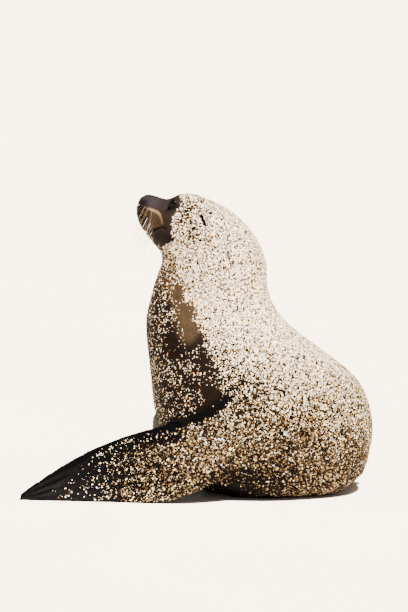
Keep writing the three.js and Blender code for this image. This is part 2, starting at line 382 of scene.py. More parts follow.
def pushFace(p):
    # millimetres out along the normal, for points on either side of the face
    mirrored = oneSide(p)
    x, side, z = mirrored.T
    rim, lip = padEdges(x)
    pad = fade(-1, 5, rim - z) * fade(-1, 3, z - lip) * fade(-183, -190, x) * fade(5, 14, side)
    push = 2.2 * pad + 1.6 * blobs(mirrored, (-232, 32, 607), 20)
    mouth = awayXZ(p, faceLines["mouth"])
    push -= (2.0 + 1.2 * fade(-236, -222, x)) * bell(mouth, 1.8)
    push += 1.2 * bell(mouth - 4.5, 2.5) * fade(592, 588, z) * fade(-178, -186, x)
    rimAway = awayXZ(p, faceLines["padRim"])
    push -= 0.5 * bell(rimAway, 3.0) * fade(10, 18, side) * fade(-246, -232, x)
    for height, middle, reach in faceBumps:
        push += height * blobs(mirrored, middle, reach)
    # nose pad: slit nostrils, a crease round it and the groove down to the lip
    slit = lineAway(mirrored, [(-261, 5, 650), (-264.5, 8.5, 643), (-262, 14.5, 636), (-257, 18, 636)])
    push -= 4.0 * bell(slit, 1.9)
    push += 1.2 * bell(slit - 4.2, 2.0)
    push -= 1.4 * bell(side, 1.4) * fade(-244, -250, x) * fade(652, 646, z) * (z > 580)
    crease = lineAway(mirrored, [(-246, 0, 661), (-247, 13, 656), (-250, 22, 645), (-254, 22, 630),
                                 (-260, 10, 622), (-262, 0, 621)])
    push -= 0.9 * bell(crease, 1.6)
    # folds of the throat
    for fold in ([(-214, 548), (-190, 552), (-172, 566)], [(-206, 530), (-186, 534), (-166, 548)]):
        push -= 1.0 * bell(awayXZ(p, fold), 3.0)
    return push


def blobs(p, centre, reach):
    return bell(distances(p, centre), reach)


# how far lids reach over the head, lower lid against upper, depth of the socket against the ball,
# crease over the upper lid, and how far the skin stays outside the ball
lidLook = {"reach": 34, "lower": 0.85, "socket": 0.70, "crease": 0.8, "overBall": 1.3}


def shapeLids(p, side):
    # moves points near one eye onto its lids and into the socket behind the ball
    centre = np.array([eyeLevel["x"], side * abs(onAnimal(nodeCentre("eye_right"))[1]), eyeLevel["z"]])
    out = unitVector(gaze) * [1, side, 1]
    # the opening's long axis rises towards the nose
    forward = np.array([-0.8746, 0, 0.4848])
    along = unitVector(forward - out * (forward @ out))
    upward = np.cross(out, along) * side * -1
    ball = (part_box("eye_right")[1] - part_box("eye_right")[0])[2] / 2 / mm
    reach = p - centre
    far = np.linalg.norm(reach, axis=1)
    near = (far < lidLook["reach"]) & (reach @ out > 0)
    unit = reach[near] / far[near][:, None]
    across, rise, ahead = unit @ along, unit @ upward, unit @ out
    wide, tall = skinLook["eyeOpening"]
    # almond: the opening's upper edge is more arched than its lower one
    tallness = np.where(rise > 0, tall, tall * lidLook["lower"]) / ball
    ratio = np.sqrt((across / (wide / ball)) ** 2 + (rise / tallness) ** 2)
    ratio = np.where(ahead > 0, ratio, 9)
    lid = ball + skinLook["lidThickness"] * fade(1.0, 1.25, ratio) + 0.4
    hidden = ball * lidLook["socket"]
    rounded = hidden + (lid - hidden) * fade(0.88, 1.06, ratio)
    share = fade(1.85, 1.15, ratio)
    target = far[near] * (1 - share) + rounded * share
    target -= lidLook["crease"] * bell(ratio - 1.6, 0.12) * fade(0.05, 0.25, rise)
    # nothing of the ball shows outside its lids
    target = np.where(ratio > 1.06, np.maximum(target, ball + lidLook["overBall"]), target)
    moved = p.copy()
    moved[near] = centre + unit * target[:, None]
    return moved


def armCrease(side):
    # the fold where the arm leaves the chest
    return [(x, side * y, z) for x, y, z in ((4, 160, 232), (-28, 170, 206), (-57, 168, 191),
                                             (-108, 155, 178), (-150, 128, 165))]


bodyLook = {"ridge": 1.1, "ridges": 4.5, "armCrease": 6.5, "armRoll": 2.4, "fold": 1.6}


def pushBody(p):
    # ridges of the digits along each foreflipper
    push = np.zeros(len(p))
    for side in flipperSides:
        across, _, off, _, _ = flipperPlace(p, side)
        blade = fade(95, 60, off) * fade(-130, -260, p[:, 0] - 0.35 * np.abs(p[:, 1]) + 60)
        ridges = np.cos(across * 2 * math.pi * bodyLook["ridges"]) * fade(0.0, 0.25, across)
        push += bodyLook["ridge"] * blade * ridges
    # crease where the arm leaves the chest, and the roll of skin above it
    for side in (-1, 1):
        crease = lineAway(p, armCrease(side))
        push -= bodyLook["armCrease"] * bell(crease, 7)
        push += bodyLook["armRoll"] * bell(crease - 19, 11)
    # shallow folds over the flank and round the neck
    for fold in ([(-40, 0, 556), (-60, -80, 530), (-120, -88, 505)],
                 [(-10, 0, 520), (-40, -96, 492), (-110, -108, 470)],
                 [(150, -120, 130), (110, -150, 160), (60, -160, 190)]):
        for side in (-1, 1):
            line = [(x, -side * y, z) for x, y, z in fold]
            push -= bodyLook["fold"] * bell(lineAway(p, line), 9)
    return push


justInside = 0.0001  # metres, so that a ray doesn't meet the face it leaves


def wallThickness(mesh, chosen):
    # millimetres from each chosen vertex straight in to the opposite side
    surface = surfaceTree(mesh)
    room = np.full(len(mesh.vertices), 1000.0)
    for index in np.flatnonzero(chosen):
        vertex = mesh.vertices[index]
        away = surface.ray_cast(vertex.co - vertex.normal * justInside, -vertex.normal)[3]
        room[index] = 0 if away is None else away / mm
    return room


def sculptSkin(mesh):
    p = readPlaces(mesh)
    normals = readNormals(mesh)
    bare = bareSkin(p)
    floorClear = fade(0.5, 9, p[:, 2])
    thin = np.minimum(1, flipperRoom(p) / 14)
    blade = bladePart(p)
    depth = (skinLook["coatDepth"] * (1 - 0.7 * bare) * thin + skinLook["bladeSwell"] * blade) * floorClear
    move = pushBody(p) * floorClear - depth
    # the two sides of a blade stop short of each other, and points that have slid past one another go back
    onBlade = blade > 0
    move = np.maximum(move, (skinLook["thinnestBlade"] - wallThickness(mesh, onBlade)) / 2)
    writePlaces(mesh, p + normals * move[:, None])
    for _ in range(4):
        relax(mesh, 0.5 * (wallThickness(mesh, onBlade) < 1), 2)
    p = readPlaces(mesh)
    normals = readNormals(mesh)
    onHead = fade(-90, -110, p[:, 0]) * fade(500, 530, p[:, 2])
    p = p + normals * (pushFace(p) * onHead)[:, None]
    writePlaces(mesh, p)
    relax(mesh, 0.25 * onHead, 1)
    p = readPlaces(mesh)
    for side in (-1, 1):
        p = shapeLids(p, side)
    p[:, 2] = np.maximum(p[:, 2], 0.2)
    writePlaces(mesh, p)


def flipperRoom(p):
    # distance to the nearest edge of a foreflipper, and a little more
    return np.min([lineAway(p, lines[side + edge]) for side in flipperSides for edge in ("Lead", "Trail")],
                  axis=0) + 4


def faceFree(p):
    # 1 on the face, whose fur is clean of sand
    x, z = p[:, 0], p[:, 2]
    edge = np.interp(z, [540, 551, 560, 567, 585, 603, 621, 630, 644, 656, 668],
                     [-186, -188, -165, -155, -160, -164, -160, -155, -152, -156, -163])
    clean = fade(3, -3, x - edge) * fade(538, 546, z)
    return np.maximum(clean, patch(oneSide(p), (-162, 41, 645), (18, 22, 17), 0.2))


def bareSkin(p):
    # 1 where no sand clings: the flippers' leading edges and tips, and the face
    bare = np.zeros(len(p))
    for side in flipperSides:
        _, ahead, off, out, _ = flipperPlace(p, side)
        width = np.interp(out, [90, 130, 210, 290, 330, 380, 430], [8, 15, 15, 20, 34, 60, 110])
        edge = fade(1.15, 0.85, ahead / width)
        bare = np.maximum(bare, edge * fade(75, 95, out) * fade(120, 90, off))
    return np.maximum(bare, faceFree(p))


def eyesAway(p):
    return np.min([distances(p, onAnimal(nodeCentre(eye))) for eye in ("eye_left", "eye_right")], axis=0)


refine(skin.data, eyesAway(readPlaces(skin.data)) < skinLook["eyeReach"])
sculptSkin(skin.data)
print("skin shaped", len(skin.data.vertices), "vertices", len(skin.data.polygons), "faces")


# ears: small furled cones, open along one side and set into the head

earLook = {"root": (-97, 44, 632), "tip": (-75, 72, 602), "radius": 7.0, "wall": 1.5, "furl": 132,
           "flat": 0.72, "bow": 2.5, "steps": 18, "around": 22}


def joinRings(shape, rings):
    # a closed skin over rings of points, capped at both ends
    for low, high in zip(rings[:-1], rings[1:]):
        for i in range(len(low)):
            after = (i + 1) % len(low)
            shape.faces.new((low[i], low[after], high[after], high[i]))
    shape.faces.new(rings[0][::-1])
    shape.faces.new(rings[-1])


def makeEar(side):
    root = np.array(earLook["root"], float) * [1, side, 1]
    tip = np.array(earLook["tip"], float) * [1, side, 1]
    axis = tip - root
    length = np.linalg.norm(axis)
    axis /= length
    slit = np.array([-0.75, 0.35 * side, -0.55])
    slit = unitVector(slit - axis * (slit @ axis))
    across = np.cross(axis, slit)
    angles = np.radians(np.linspace(-earLook["furl"], earLook["furl"], earLook["around"]))
    flat = earLook["flat"]
    rings = []
    for step in range(earLook["steps"] + 1):
        t = step / earLook["steps"]
        swell = 0.80 + 0.35 * math.sin(math.pi * min(1, t * 1.25))
        wide = earLook["radius"] * swell * (1 - t ** 3.2) + 0.35
        centre = root + axis * length * t + slit * (-earLook["bow"] * math.sin(math.pi * t))
        wall = min(earLook["wall"], wide * 0.6)
        outer = [centre - slit * math.cos(a) * wide * flat + across * math.sin(a) * wide for a in angles]
        inner = [centre - slit * math.cos(a) * (wide * flat - wall) + across * math.sin(a) * (wide - wall)
                 for a in angles[::-1]]
        rings.append(outer + inner)
    ear = bmesh.new()
    joinRings(ear, [[ear.verts.new(inModel(place)) for place in ring] for ring in rings])
    bmesh.ops.triangulate(ear, faces=[f for f in ear.faces if len(f.verts) > 4])
    bmesh.ops.recalc_face_normals(ear, faces=ear.faces)
    return ear


def addEars(mesh):
    whole = bmesh.new()
    whole.from_mesh(mesh)
    for side in (-1, 1):
        ear = makeEar(side)
        part = bpy.data.meshes.new("ear")
        ear.to_mesh(part)
        ear.free()
        whole.from_mesh(part)
        bpy.data.meshes.remove(part)
    whole.to_mesh(mesh)
    whole.free()


addEars(skin.data)
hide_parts(*fleshNodes, "ear_left", "ear_right")
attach(skin, "root")
print("ears set in")


# eyes

eyeLook = {"segments": 48, "cornea": 0.7, "iris": 7.4}


def makeEye(node):
    centre = nodeCentre(node)
    low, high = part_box(node)
    radius = (high - low)[2] / 2
    side = 1 if onAnimal(centre)[1] > 0 else -1
    out = Vector(gaze * [1, side, 1]).normalized()
    ball = bmesh.new()
    around = eyeLook["segments"]
    bmesh.ops.create_uvsphere(ball, u_segments=around, v_segments=around // 2, radius=1)
    mesh = bpy.data.meshes.new(node + "_ball")
    ball.to_mesh(mesh)
    ball.free()
    points = readPoints(mesh)
    fromPole = np.degrees(np.arccos(np.clip(points[:, 2], -1, 1)))
    irisAngle = math.degrees(math.asin(eyeLook["iris"] * mm / radius))
    bulge = fade(irisAngle * 1.15, irisAngle * 0.4, fromPole)
    points *= (radius + eyeLook["cornea"] * mm * bulge)[:, None]
    turn = np.array(out.to_track_quat("Z", "Y").to_matrix())
    writePoints(mesh, points @ turn.T + centre)
    addValues(mesh, "fromPupil", fromPole / irisAngle)
    smoothShade(mesh)
    return newObject(node + "_ball", mesh)


eyes = {node: makeEye(node) for node in ("eye_left", "eye_right")}
for node, ball in eyes.items():
    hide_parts(node)
    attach(ball, "root")
print("eyes made")


# markings: where the fur changes colour and where sand clings to it

furTones = {
    # padRim is a pale line painted as a highlight along the upper rim of the whisker pad
    # the bridge tone is partly the muzzle fur's own colour and partly a painted bluish sheen on its top
    # the fur under the sand has its own dark tone, made near black as painted shade in the pits between the
    # grains
    "underSandAndPitShade": "#050302", "muzzle": "#261f1e", "bridgeSheen": "#282328", "pad": "#382d1f", "padRim": "#94795a",
    "jaw": "#151011", "lip": "#4c3a1c", "brow": "#1f1814", "throat": "#31241a", "chestTan": "#3f3326",
    # the near-black tone of the bare flippers also serves as painted shade in the arm crease and under the
    # belly
    "chestDark": "#120c09", "hideAndShade": "#020203", "nose": "#070607", "mouth": "#040303",
}


def chestEdge(p):
    # positive in front of the line where the dense sand of the neck and shoulder gives way to the chest
    x, y, z = p.T
    edge = np.interp(z, [200, 211, 231, 273, 307, 338, 370, 401, 434, 466, 496, 545],
                     [-40, -26, -8, -10, -27, -48, -60, -80, -108, -133, -138, -158])
    edge = edge - 0.55 * np.maximum(y, 0)
    return edge - x


def flipperFields(p):
    # for the nearer foreflipper: distance behind its leading edge, reach outward, and 1 where it is
    best = None
    for side in flipperSides:
        _, ahead, off, out, _ = flipperPlace(p, side)
        on = fade(120, 90, off) * fade(70, 110, out)
        values = np.column_stack([ahead, out, on])
        best = values if best is None else np.where((on > best[:, 2])[:, None], values, best)
    return best.T


cleanPatches = [
    ((-104, -122, 408), (22, 60, 32)), ((-86, -138, 366), (20, 60, 26)), ((-128, -106, 455), (12, 50, 28)),
    ((-137, -138, 355), (26, 60, 14)), ((-31, -170, 240), (17, 50, 24)), ((-92, 130, 385), (26, 60, 40)),
    ((-31, 170, 240), (17, 50, 24)),
]

# share of the sand lost, and where: behind the elbow, under the belly, on the low flank, above the arm; under
# the belly this leaves the dark fur bare as painted shade by the floor
thinPatches = [
    (0.42, (28, -160, 232), (64, 70, 66), 0.6), (0.60, (8, -140, 26), (82, 90, 58), 0.5),
    (0.75, (-10, -120, 8), (100, 90, 26), 0.5), (0.28, (120, -125, 120), (90, 70, 80), 0.6),
    (0.45, (60, -140, 30), (130, 90, 48), 0.5), (0.38, (-22, -162, 292), (50, 70, 72), 0.7),
]
earHollow = [(-96, 53, 622), (-88, 60, 612), (-84, 64, 605)]
chestBand = [(-158, 80, 525), (-142, 95, 490), (-122, 112, 450), (-102, 131, 412), (-92, 139, 380)]


def earShade(p):
    # 1 in the dark hollow before the ear flap and in the small one behind it
    mirrored = np.abs(p) * [-1, 1, 1]
    before = fade(5.5, 3.0, lineAway(mirrored, earHollow))
    return np.maximum(before, patch(mirrored, (-79, 41, 629), (3.5, 8, 4)))


# share of the skin that sand covers
coverLook = {"chest": 0.11, "armReach": [150, 200, 250, 300, 345], "arm": [0.66, 0.50, 0.22, 0.06, 0.015],
             "armEdge": 0.12, "chin": 0.26}


def sandCover(p):
    # how much of the sand stays on: 1 for a full cover
    x, _, z = p.T
    rough = noiseAt(p, 14, 1) * 7
    chest = fade(-17, 10, chestEdge(p) + rough) * fade(110, 205, z + rough * 4) * fade(556, 536, z)
    cover = np.ones(len(p))
    sparse = coverLook["chest"] + 0.09 * fade(-160, -185, x) * fade(360, 330, z) + 0.12 * noiseAt(p, 26, 2)
    sparse += 0.14 * fade(455, 490, z) + 0.03 * fade(335, 300, z)
    cover = cover * (1 - chest) + chest * sparse
    for centre, reach in cleanPatches:
        cover *= 1 - 0.96 * patch(p + rough[:, None] * 0.6, centre, reach)
    mirrored = oneSide(p, -1)
    for lost, centre, reach, softness in thinPatches:
        cover *= 1 - lost * patch(mirrored + rough[:, None], centre, reach, softness)
    # sand cleared from the arm crease, so that the painted shade there shows
    cover *= 1 - 0.94 * fade(14, 8, lineAway(mirrored, armCrease(-1)) + rough * 0.4)
    ahead, out, on = flipperFields(p)
    arm = np.interp(out + rough * 2, coverLook["armReach"], coverLook["arm"])
    nearEdge = fade(58, 40, ahead + rough) * fade(10, 50, out)
    arm = arm * (1 - nearEdge) + coverLook["armEdge"] * nearEdge * fade(320, 280, out)
    arm = np.maximum(arm, 0.06 * fade(34, 22, z + rough * 0.6) * fade(400, 340, out))
    cover = cover * (1 - on) + np.clip(arm, 0.03, 1) * on
    cover *= 1 - bareSkin(p + rough[:, None] * 0.25)
    # a few grains caught in the hairs of the chin
    chin = lineAway(p, [(-240, 0, 578), (-222, 0, 552), (-206, 0, 532)])
    chin = coverLook["chin"] * fade(56, 28, chin + rough * 1.5) * fade(592, 578, z + rough)
    cover = np.maximum(cover, chin)
    cover *= 1 - 0.93 * earShade(p)
    # looser on the cheek and the side of the neck
    cover *= 1 - 0.26 * fade(-60, -120, x + rough) * fade(540, 590, z)
    cover *= 1 - 0.10 * patch(mirrored, (40, -150, 260), (110, 60, 110), 0.6)
    return np.clip(cover, 0, 1) * fade(3.2, 4.6, z)


def sandWhiteness(p):
    # 1 where the grains are nearly all cream and white, 0 where brown and black ones are among them
    x, _, z = p.T
    white = np.clip((z - 95 + noiseAt(p, 60, 3) * 40) / 230, 0, 1)
    # painted highlight: whiter grains on the left shoulder only, where the light falls full on it
    white *= 0.86 + 0.14 * patch(p, (0, -110, 430), (75, 90, 70), 0.6)
    white = np.maximum(white, 0.9 * fade(-5, 15, chestEdge(p)) * fade(110, 205, z))
    white *= 1 - 0.3 * fade(-160, -190, x) * fade(340, 300, z)
    white *= 1 - 0.25 * fade(-60, -120, x) * fade(545, 585, z)
    ahead, out, on = flipperFields(p)
    arm = 0.05 + 0.65 * fade(44, 22, ahead) + 0.1 * fade(36, 24, z) + 0.5 * fade(225, 290, out)
    return np.clip(white * (1 - on) + arm * on, 0, 1)


def furColour(p):
    mirrored = oneSide(p)
    x, side, z = mirrored.T
    # the base is the dark fur under the sand, near black as painted shade in the pits between grains
    colours = np.tile(hexToLinear(furTones["underSandAndPitShade"])[:3], (len(p), 1))

    def mix(mask, tone):
        colours[:] += np.clip(mask, 0, 1)[:, None] * (np.array(hexToLinear(furTones[tone])[:3]) - colours)

    wave = noiseAt(p, 22, 4) * 6
    chest = fade(-12, 6, chestEdge(p) + wave) * fade(556, 530, z) * fade(80, 180, z)
    mix(chest, "chestDark")
    mix(chest * fade(440, 480, z), "throat")
    mix(fade(40, 16, lineAway(mirrored, chestBand) + wave) * 0.9, "chestTan")
    ahead, out, on = flipperFields(p)
    mix(on * np.maximum(fade(205, 250, out + wave), fade(60, 30, ahead)), "hideAndShade")
    # painted shade: near black in the crease where the arm leaves the chest
    crease = np.minimum(lineAway(p, armCrease(-1)), lineAway(p, armCrease(1)))
    mix(fade(24, 10, crease), "hideAndShade")
    # painted shade: near black under the belly, beside the floor
    mix(patch(mirrored, (0, 135, 14), (110, 100, 60), 0.4), "hideAndShade")
    face = faceFree(p)
    mix(face, "muzzle")
    # the top of the muzzle: partly its own fur tone, partly a painted bluish sheen
    mix(face * fade(626, 648, z) * fade(-160, -176, x), "bridgeSheen")
    mix(face * fade(592, 574, z), "jaw")
    rim, lip = padEdges(x)
    pad = fade(-3, 5, rim - z) * fade(0, 4, z - lip) * fade(-182, -190, x) * fade(6, 16, side)
    mix(pad * fade(-229, -216, x + wave * 0.5) * 0.92, "pad")
    mix(pad * fade(0.05, 0.35, noiseAt(p * [1, 1, 0.45], 5, 8)) * 0.6, "muzzle")
    mix(face * fade(-224, -240, x) * fade(655, 645, z) * fade(580, 590, z) * 0.75, "nose")
    front = face * fade(-224, -234, x) * fade(-258, -250, x)
    front = front * fade(638, 628, z) * fade(586, 594, z) * fade(3, 8, side)
    mix(front * fade(0.02, 0.30, noiseAt(p * [1, 1, 0.35], 4.5, 9)) * 0.55, "lip")
    # painted highlight: a pale line along the whisker pad's upper rim, where light catches the ridge
    rimLine = awayXZ(p, faceLines["padRim"][1:])
    mix(bell(rimLine, 2.0) * fade(10, 20, side) * fade(-236, -220, x)
        * (0.85 - 0.6 * fade(-200, -191, x)), "padRim")
    lipLine = awayXZ(p, faceLines["lip"])
    mix(bell(lipLine, 2.4) * fade(10, 20, side) * face * 0.45, "lip")
    mix(patch(mirrored, (-156, 36, 660), (13, 20, 10), 0.6) * 0.8, "brow")
    mix(patch(mirrored, (-165, 41, 643), (17, 20, 15), 0.35) * 0.9, "mouth")
    tear = lineAway(mirrored, [(-172, 46, 640), (-180, 44, 630), (-184, 44, 620)])
    mix(fade(8, 2, tear) * 0.7, "mouth")
    mouth = awayXZ(p, faceLines["mouth"])
    mix(bell(mouth, 1.7) * face, "mouth")
    mix(0.9 * earShade(p), "mouth")
    # dark spots where the whiskers root
    for row in whiskerRoots(1):
        mix(bell(distances(mirrored, row[0]), 1.7) * 0.85, "mouth")
    mix(nosePad(p), "nose")
    return colours


whiskerLook = {"rows": 5, "perRow": 5, "base": 0.33, "taper": 0.82, "buried": 2.5, "sag": 0.55,
               "scatter": 0.09, "sides": 6, "steps": 12, "length": (34, 118), "seed": 11}


def whiskerRoots(side):
    # root, row and place in its row, over the pad of one side
    roots = []
    for row in range(whiskerLook["rows"]):
        for place in range(whiskerLook["perRow"]):
            x = -246 + place * 8.5 + row * 1.5
            z = 629 - row * 8.6 - place * 1.2
            y = 22 + place * 5.0 - 0.35 * abs(row - 2) ** 2 + row * 0.6
            roots.append((np.array([x, y * side, z]), row, place))
    return roots


def lieOfCoat(p, normals):
    # the way the hairs point: back from the nose, down the body and out along each flipper
    lie = lineDistance(p, lines["midline"])[1]
    for side in flipperSides:
        _, _, off, _, heading = flipperPlace(p, side)
        on = fade(110, 70, off)[:, None]
        lie = lie * (1 - on) + heading * on
    for name in ("leftHind", "rightHind"):
        off, heading = lineDistance(p, lines[name])
        on = fade(85, 55, off)[:, None]
        lie = lie * (1 - on) + heading * on
    lie = lie - normals * np.sum(lie * normals, axis=1)[:, None]
    return lie / np.maximum(np.linalg.norm(lie, axis=1), 1e-6)[:, None]


def markSkin(mesh):
    p = readPlaces(mesh)
    addValues(mesh, "sandCover", sandCover(p))
    addValues(mesh, "sandWhite", sandWhiteness(p))
    addValues(mesh, "bare", bareSkin(p) * (1 - faceFree(p)) + nosePad(p))
    addValues(mesh, "furColour", np.column_stack([furColour(p), np.ones(len(p))]), "FLOAT_COLOR", "color")
    addValues(mesh, "lie", lieOfCoat(p, readNormals(mesh)), "FLOAT_VECTOR", "vector")
    smoothShade(mesh)


def unwrapSkin(piece):
    # the skin's own unwrap, which every grain and tuft also takes its place from
    bpy.context.view_layer.objects.active = piece
    piece.select_set(True)
    piece.data.uv_layers.new(name="OFBake")
    bpy.ops.object.mode_set(mode="EDIT")
    bpy.ops.mesh.select_all(action="SELECT")
    bpy.ops.uv.smart_project(angle_limit=math.radians(66), island_margin=0.004)
    bpy.ops.object.mode_set(mode="OBJECT")
    piece.select_set(False)


markSkin(skin.data)
unwrapSkin(skin)
print("skin marked and unwrapped")


# node helpers

def addNode(tree, kind, inputs=None, **settings):
    # a node with its settings, whose inputs take values or other nodes' outputs
    made = tree.nodes.new(kind)
    for name, value in settings.items():
        setattr(made, name, value)
    for name, value in (inputs or {}).items():
        socket = made.inputs[name]
        if isinstance(value, bpy.types.NodeSocket):
            tree.links.new(value, socket)
        else:
            socket.default_value = value
    return made


def result(tree, kind, inputs=None, **settings):
    return addNode(tree, kind, inputs, **settings).outputs[0]


def newTree(name, inputs):
    tree = bpy.data.node_groups.new(name, "GeometryNodeTree")
    face = tree.interface
    face.new_socket(name="Geometry", in_out="INPUT", socket_type="NodeSocketGeometry")
    face.new_socket(name="Geometry", in_out="OUTPUT", socket_type="NodeSocketGeometry")
    for label, (kind, value) in inputs.items():
        socket = face.new_socket(name=label, in_out="INPUT", socket_type=kind)
        if value is not None:
            socket.default_value = value
    return tree, tree.nodes.new("NodeGroupInput").outputs, tree.nodes.new("NodeGroupOutput").inputs


def readName(tree, name, kind="FLOAT"):
    return result(tree, "GeometryNodeInputNamedAttribute", {"Name": name}, data_type=kind)


def storeName(tree, geometry, name, value, kind="FLOAT", domain="POINT"):
    inputs = {"Geometry": geometry, "Name": name, "Value": value}
    return result(tree, "GeometryNodeStoreNamedAttribute", inputs, data_type=kind, domain=domain)


def dropNames(tree, geometry, *names):
    for name in names:
        geometry = result(tree, "GeometryNodeRemoveAttribute", {"Geometry": geometry, "Name": name})
    return geometry


def dropPoints(tree, points, chosen):
    inputs = {"Geometry": points, "Selection": chosen}
    return result(tree, "GeometryNodeDeleteGeometry", inputs, domain="POINT")


def maths(tree, operation, first, second=0.0):
    return result(tree, "ShaderNodeMath", {0: first, 1: second}, operation=operation)


def times(tree, first, second):
    return maths(tree, "MULTIPLY", first, second)


def combine(tree, x, y, z):
    return result(tree, "ShaderNodeCombineXYZ", {"X": x, "Y": y, "Z": z})


def vectors(tree, operation, first, second):
    inputs = {0: first, "Scale" if operation == "SCALE" else 1: second}
    return result(tree, "ShaderNodeVectorMath", inputs, operation=operation)


def randomNumber(tree, low, high, seed):
    inputs = {2: low, 3: high, "Seed": seed}
    return addNode(tree, "FunctionNodeRandomValue", inputs, data_type="FLOAT").outputs[1]


def randomVector(tree, low, high, seed):
    inputs = {0: (low,) * 3, 1: (high,) * 3, "Seed": seed}
    return result(tree, "FunctionNodeRandomValue", inputs, data_type="FLOAT_VECTOR")


rootPatch = 0.003  # side of the square that each grain or hair takes on the skin's unwrap


def rootsOnSkin(tree, group, cover):
    # points spread over the skin, thinned by an attribute, of which one piece keeps its share
    spread = addNode(tree, "GeometryNodeDistributePointsOnFaces",
                     {"Mesh": group["Geometry"], "Distance Min": group["Spacing"], "Seed": group["Seed"],
                      "Density Max": group["Density"], "Density Factor": readName(tree, cover)},
                     distribute_method="POISSON")
    index = result(tree, "GeometryNodeInputIndex")
    share = maths(tree, "SUBTRACT", maths(tree, "MODULO", index, group["Pieces"]), group["Piece"])
    others = maths(tree, "GREATER_THAN", maths(tree, "ABSOLUTE", share), 0.5)
    kept = dropPoints(tree, spread.outputs["Points"], others)
    kept = storeName(tree, kept, "rootPlace", readName(tree, "OFBake", "FLOAT_VECTOR"), "FLOAT_VECTOR")
    return dropNames(tree, kept, "OFBake"), spread


def finishCoat(tree, group, instances):
    # real mesh, each small shape mapped to a patch round its root's place on the skin's unwrap
    real = result(tree, "GeometryNodeRealizeInstances", {"Geometry": instances})
    place = vectors(tree, "ADD", readName(tree, "rootPlace", "FLOAT_VECTOR"),
                    vectors(tree, "SCALE", readName(tree, "patch", "FLOAT_VECTOR"), rootPatch / 2))
    real = storeName(tree, real, "OFBake", place, "FLOAT2", "CORNER")
    real = dropNames(tree, real, "rootPlace", "patch", "lie", "sandCover", "sandWhite", "bare")
    real = result(tree, "GeometryNodeSetShadeSmooth", {"Geometry": real, "Shade Smooth": False})
    return result(tree, "GeometryNodeSetMaterial", {"Geometry": real, "Material": group["Material"]})


def coatTree(name, sizes):
    # a tree with the inputs every coat piece has, and its own sizes
    inputs = {label: ("NodeSocketFloat", 1.0) for label in ("Spacing", "Density") + sizes}
    inputs.update({label: ("NodeSocketInt", 1) for label in ("Seed", "Pieces", "Piece")})
    return newTree(name, dict(inputs, Material=("NodeSocketMaterial", None)))


def coatPieces(name, tree, values, material, seed):
    made = []
    for number in range(values["Pieces"]):
        piece = newObject(f"{name}_{number + 1}", skin.data.copy())
        grow = piece.modifiers.new("grow", "NODES")
        grow.node_group = tree
        settings = dict(values, Piece=number, Seed=seed, Material=material)
        for item in tree.interface.items_tree:
            if item.item_type == "SOCKET" and item.in_out == "INPUT" and item.name in settings:
                grow[item.identifier] = settings[item.name]
        bakedCopy(piece)
        made.append(piece)
    return made


# shell sand clinging to the coat

sandLook = {"Spacing": 1.5 * mm, "Size": 2.2 * mm, "Density": 800000.0, "Pieces": 6,
            "gapSize": 4.0, "gapLimit": 0.478, "gapLessDry": 0.080}


def sandGap(tree, place, white):
    # 1 in the small gaps where sand has dropped off, fewer where it is dry and white
    scale = 1 / (sandLook["gapSize"] * mm)
    pattern = result(tree, "ShaderNodeTexNoise", {"Vector": place, "Scale": scale, "Detail": 1.0})
    limit = maths(tree, "SUBTRACT", sandLook["gapLimit"], times(tree, white, sandLook["gapLessDry"]))
    return maths(tree, "LESS_THAN", pattern, limit)


def sandTree():
    tree, group, out = coatTree("sand grains", ("Size",))
    points, _ = rootsOnSkin(tree, group, "sandCover")
    white = readName(tree, "sandWhite")
    position = result(tree, "GeometryNodeInputPosition")
    gap = sandGap(tree, position, white)
    points = dropPoints(tree, points, gap)
    points = storeName(tree, points, "grain", randomNumber(tree, 0.0, 1.0, 3))
    points = storeName(tree, points, "white", white)
    points = storeName(tree, points, "shade", randomNumber(tree, 0.0, 1.0, 4))
    crumb = result(tree, "GeometryNodeMeshUVSphere", {"Segments": 4, "Rings": 2, "Radius": 0.5})
    crumb = storeName(tree, crumb, "patch", vectors(tree, "SCALE", position, 2.0), "FLOAT_VECTOR")
    # most are small and a few coarse; those left singly on bare fur are coarser, and the damp ones finer
    coarse = times(tree, maths(tree, "POWER", randomNumber(tree, 0.0, 1.0, 7), 4.0), 0.9)
    coarse = maths(tree, "ADD", coarse, 0.72)
    single = maths(tree, "SUBTRACT", 1.24, times(tree, readName(tree, "sandCover"), 0.28))
    single = times(tree, single, maths(tree, "ADD", 0.78, times(tree, white, 0.22)))
    size = times(tree, group["Size"], times(tree, coarse, single))
    size = vectors(tree, "SCALE", randomVector(tree, 0.72, 1.12, 5), size)
    grains = result(tree, "GeometryNodeInstanceOnPoints", {"Points": points, "Instance": crumb, "Scale": size,
                                                           "Rotation": randomVector(tree, 0.0, 6.283, 6)})
    tree.links.new(finishCoat(tree, group, grains), out["Geometry"])
    return tree


# short tufts of fur, lying the way the coat lies

tuftLook = {"Spacing": 3.3 * mm, "Length": 7.5 * mm, "Width": 1.4 * mm, "Density": 200000.0, "Pieces": 4,
            "droop": 0.22, "sway": 0.16, "lift": 0.20}
faceLook = {"Spacing": 1.5 * mm, "Length": 6.6 * mm, "Width": 1.2 * mm, "Density": 700000.0, "Pieces": 1}


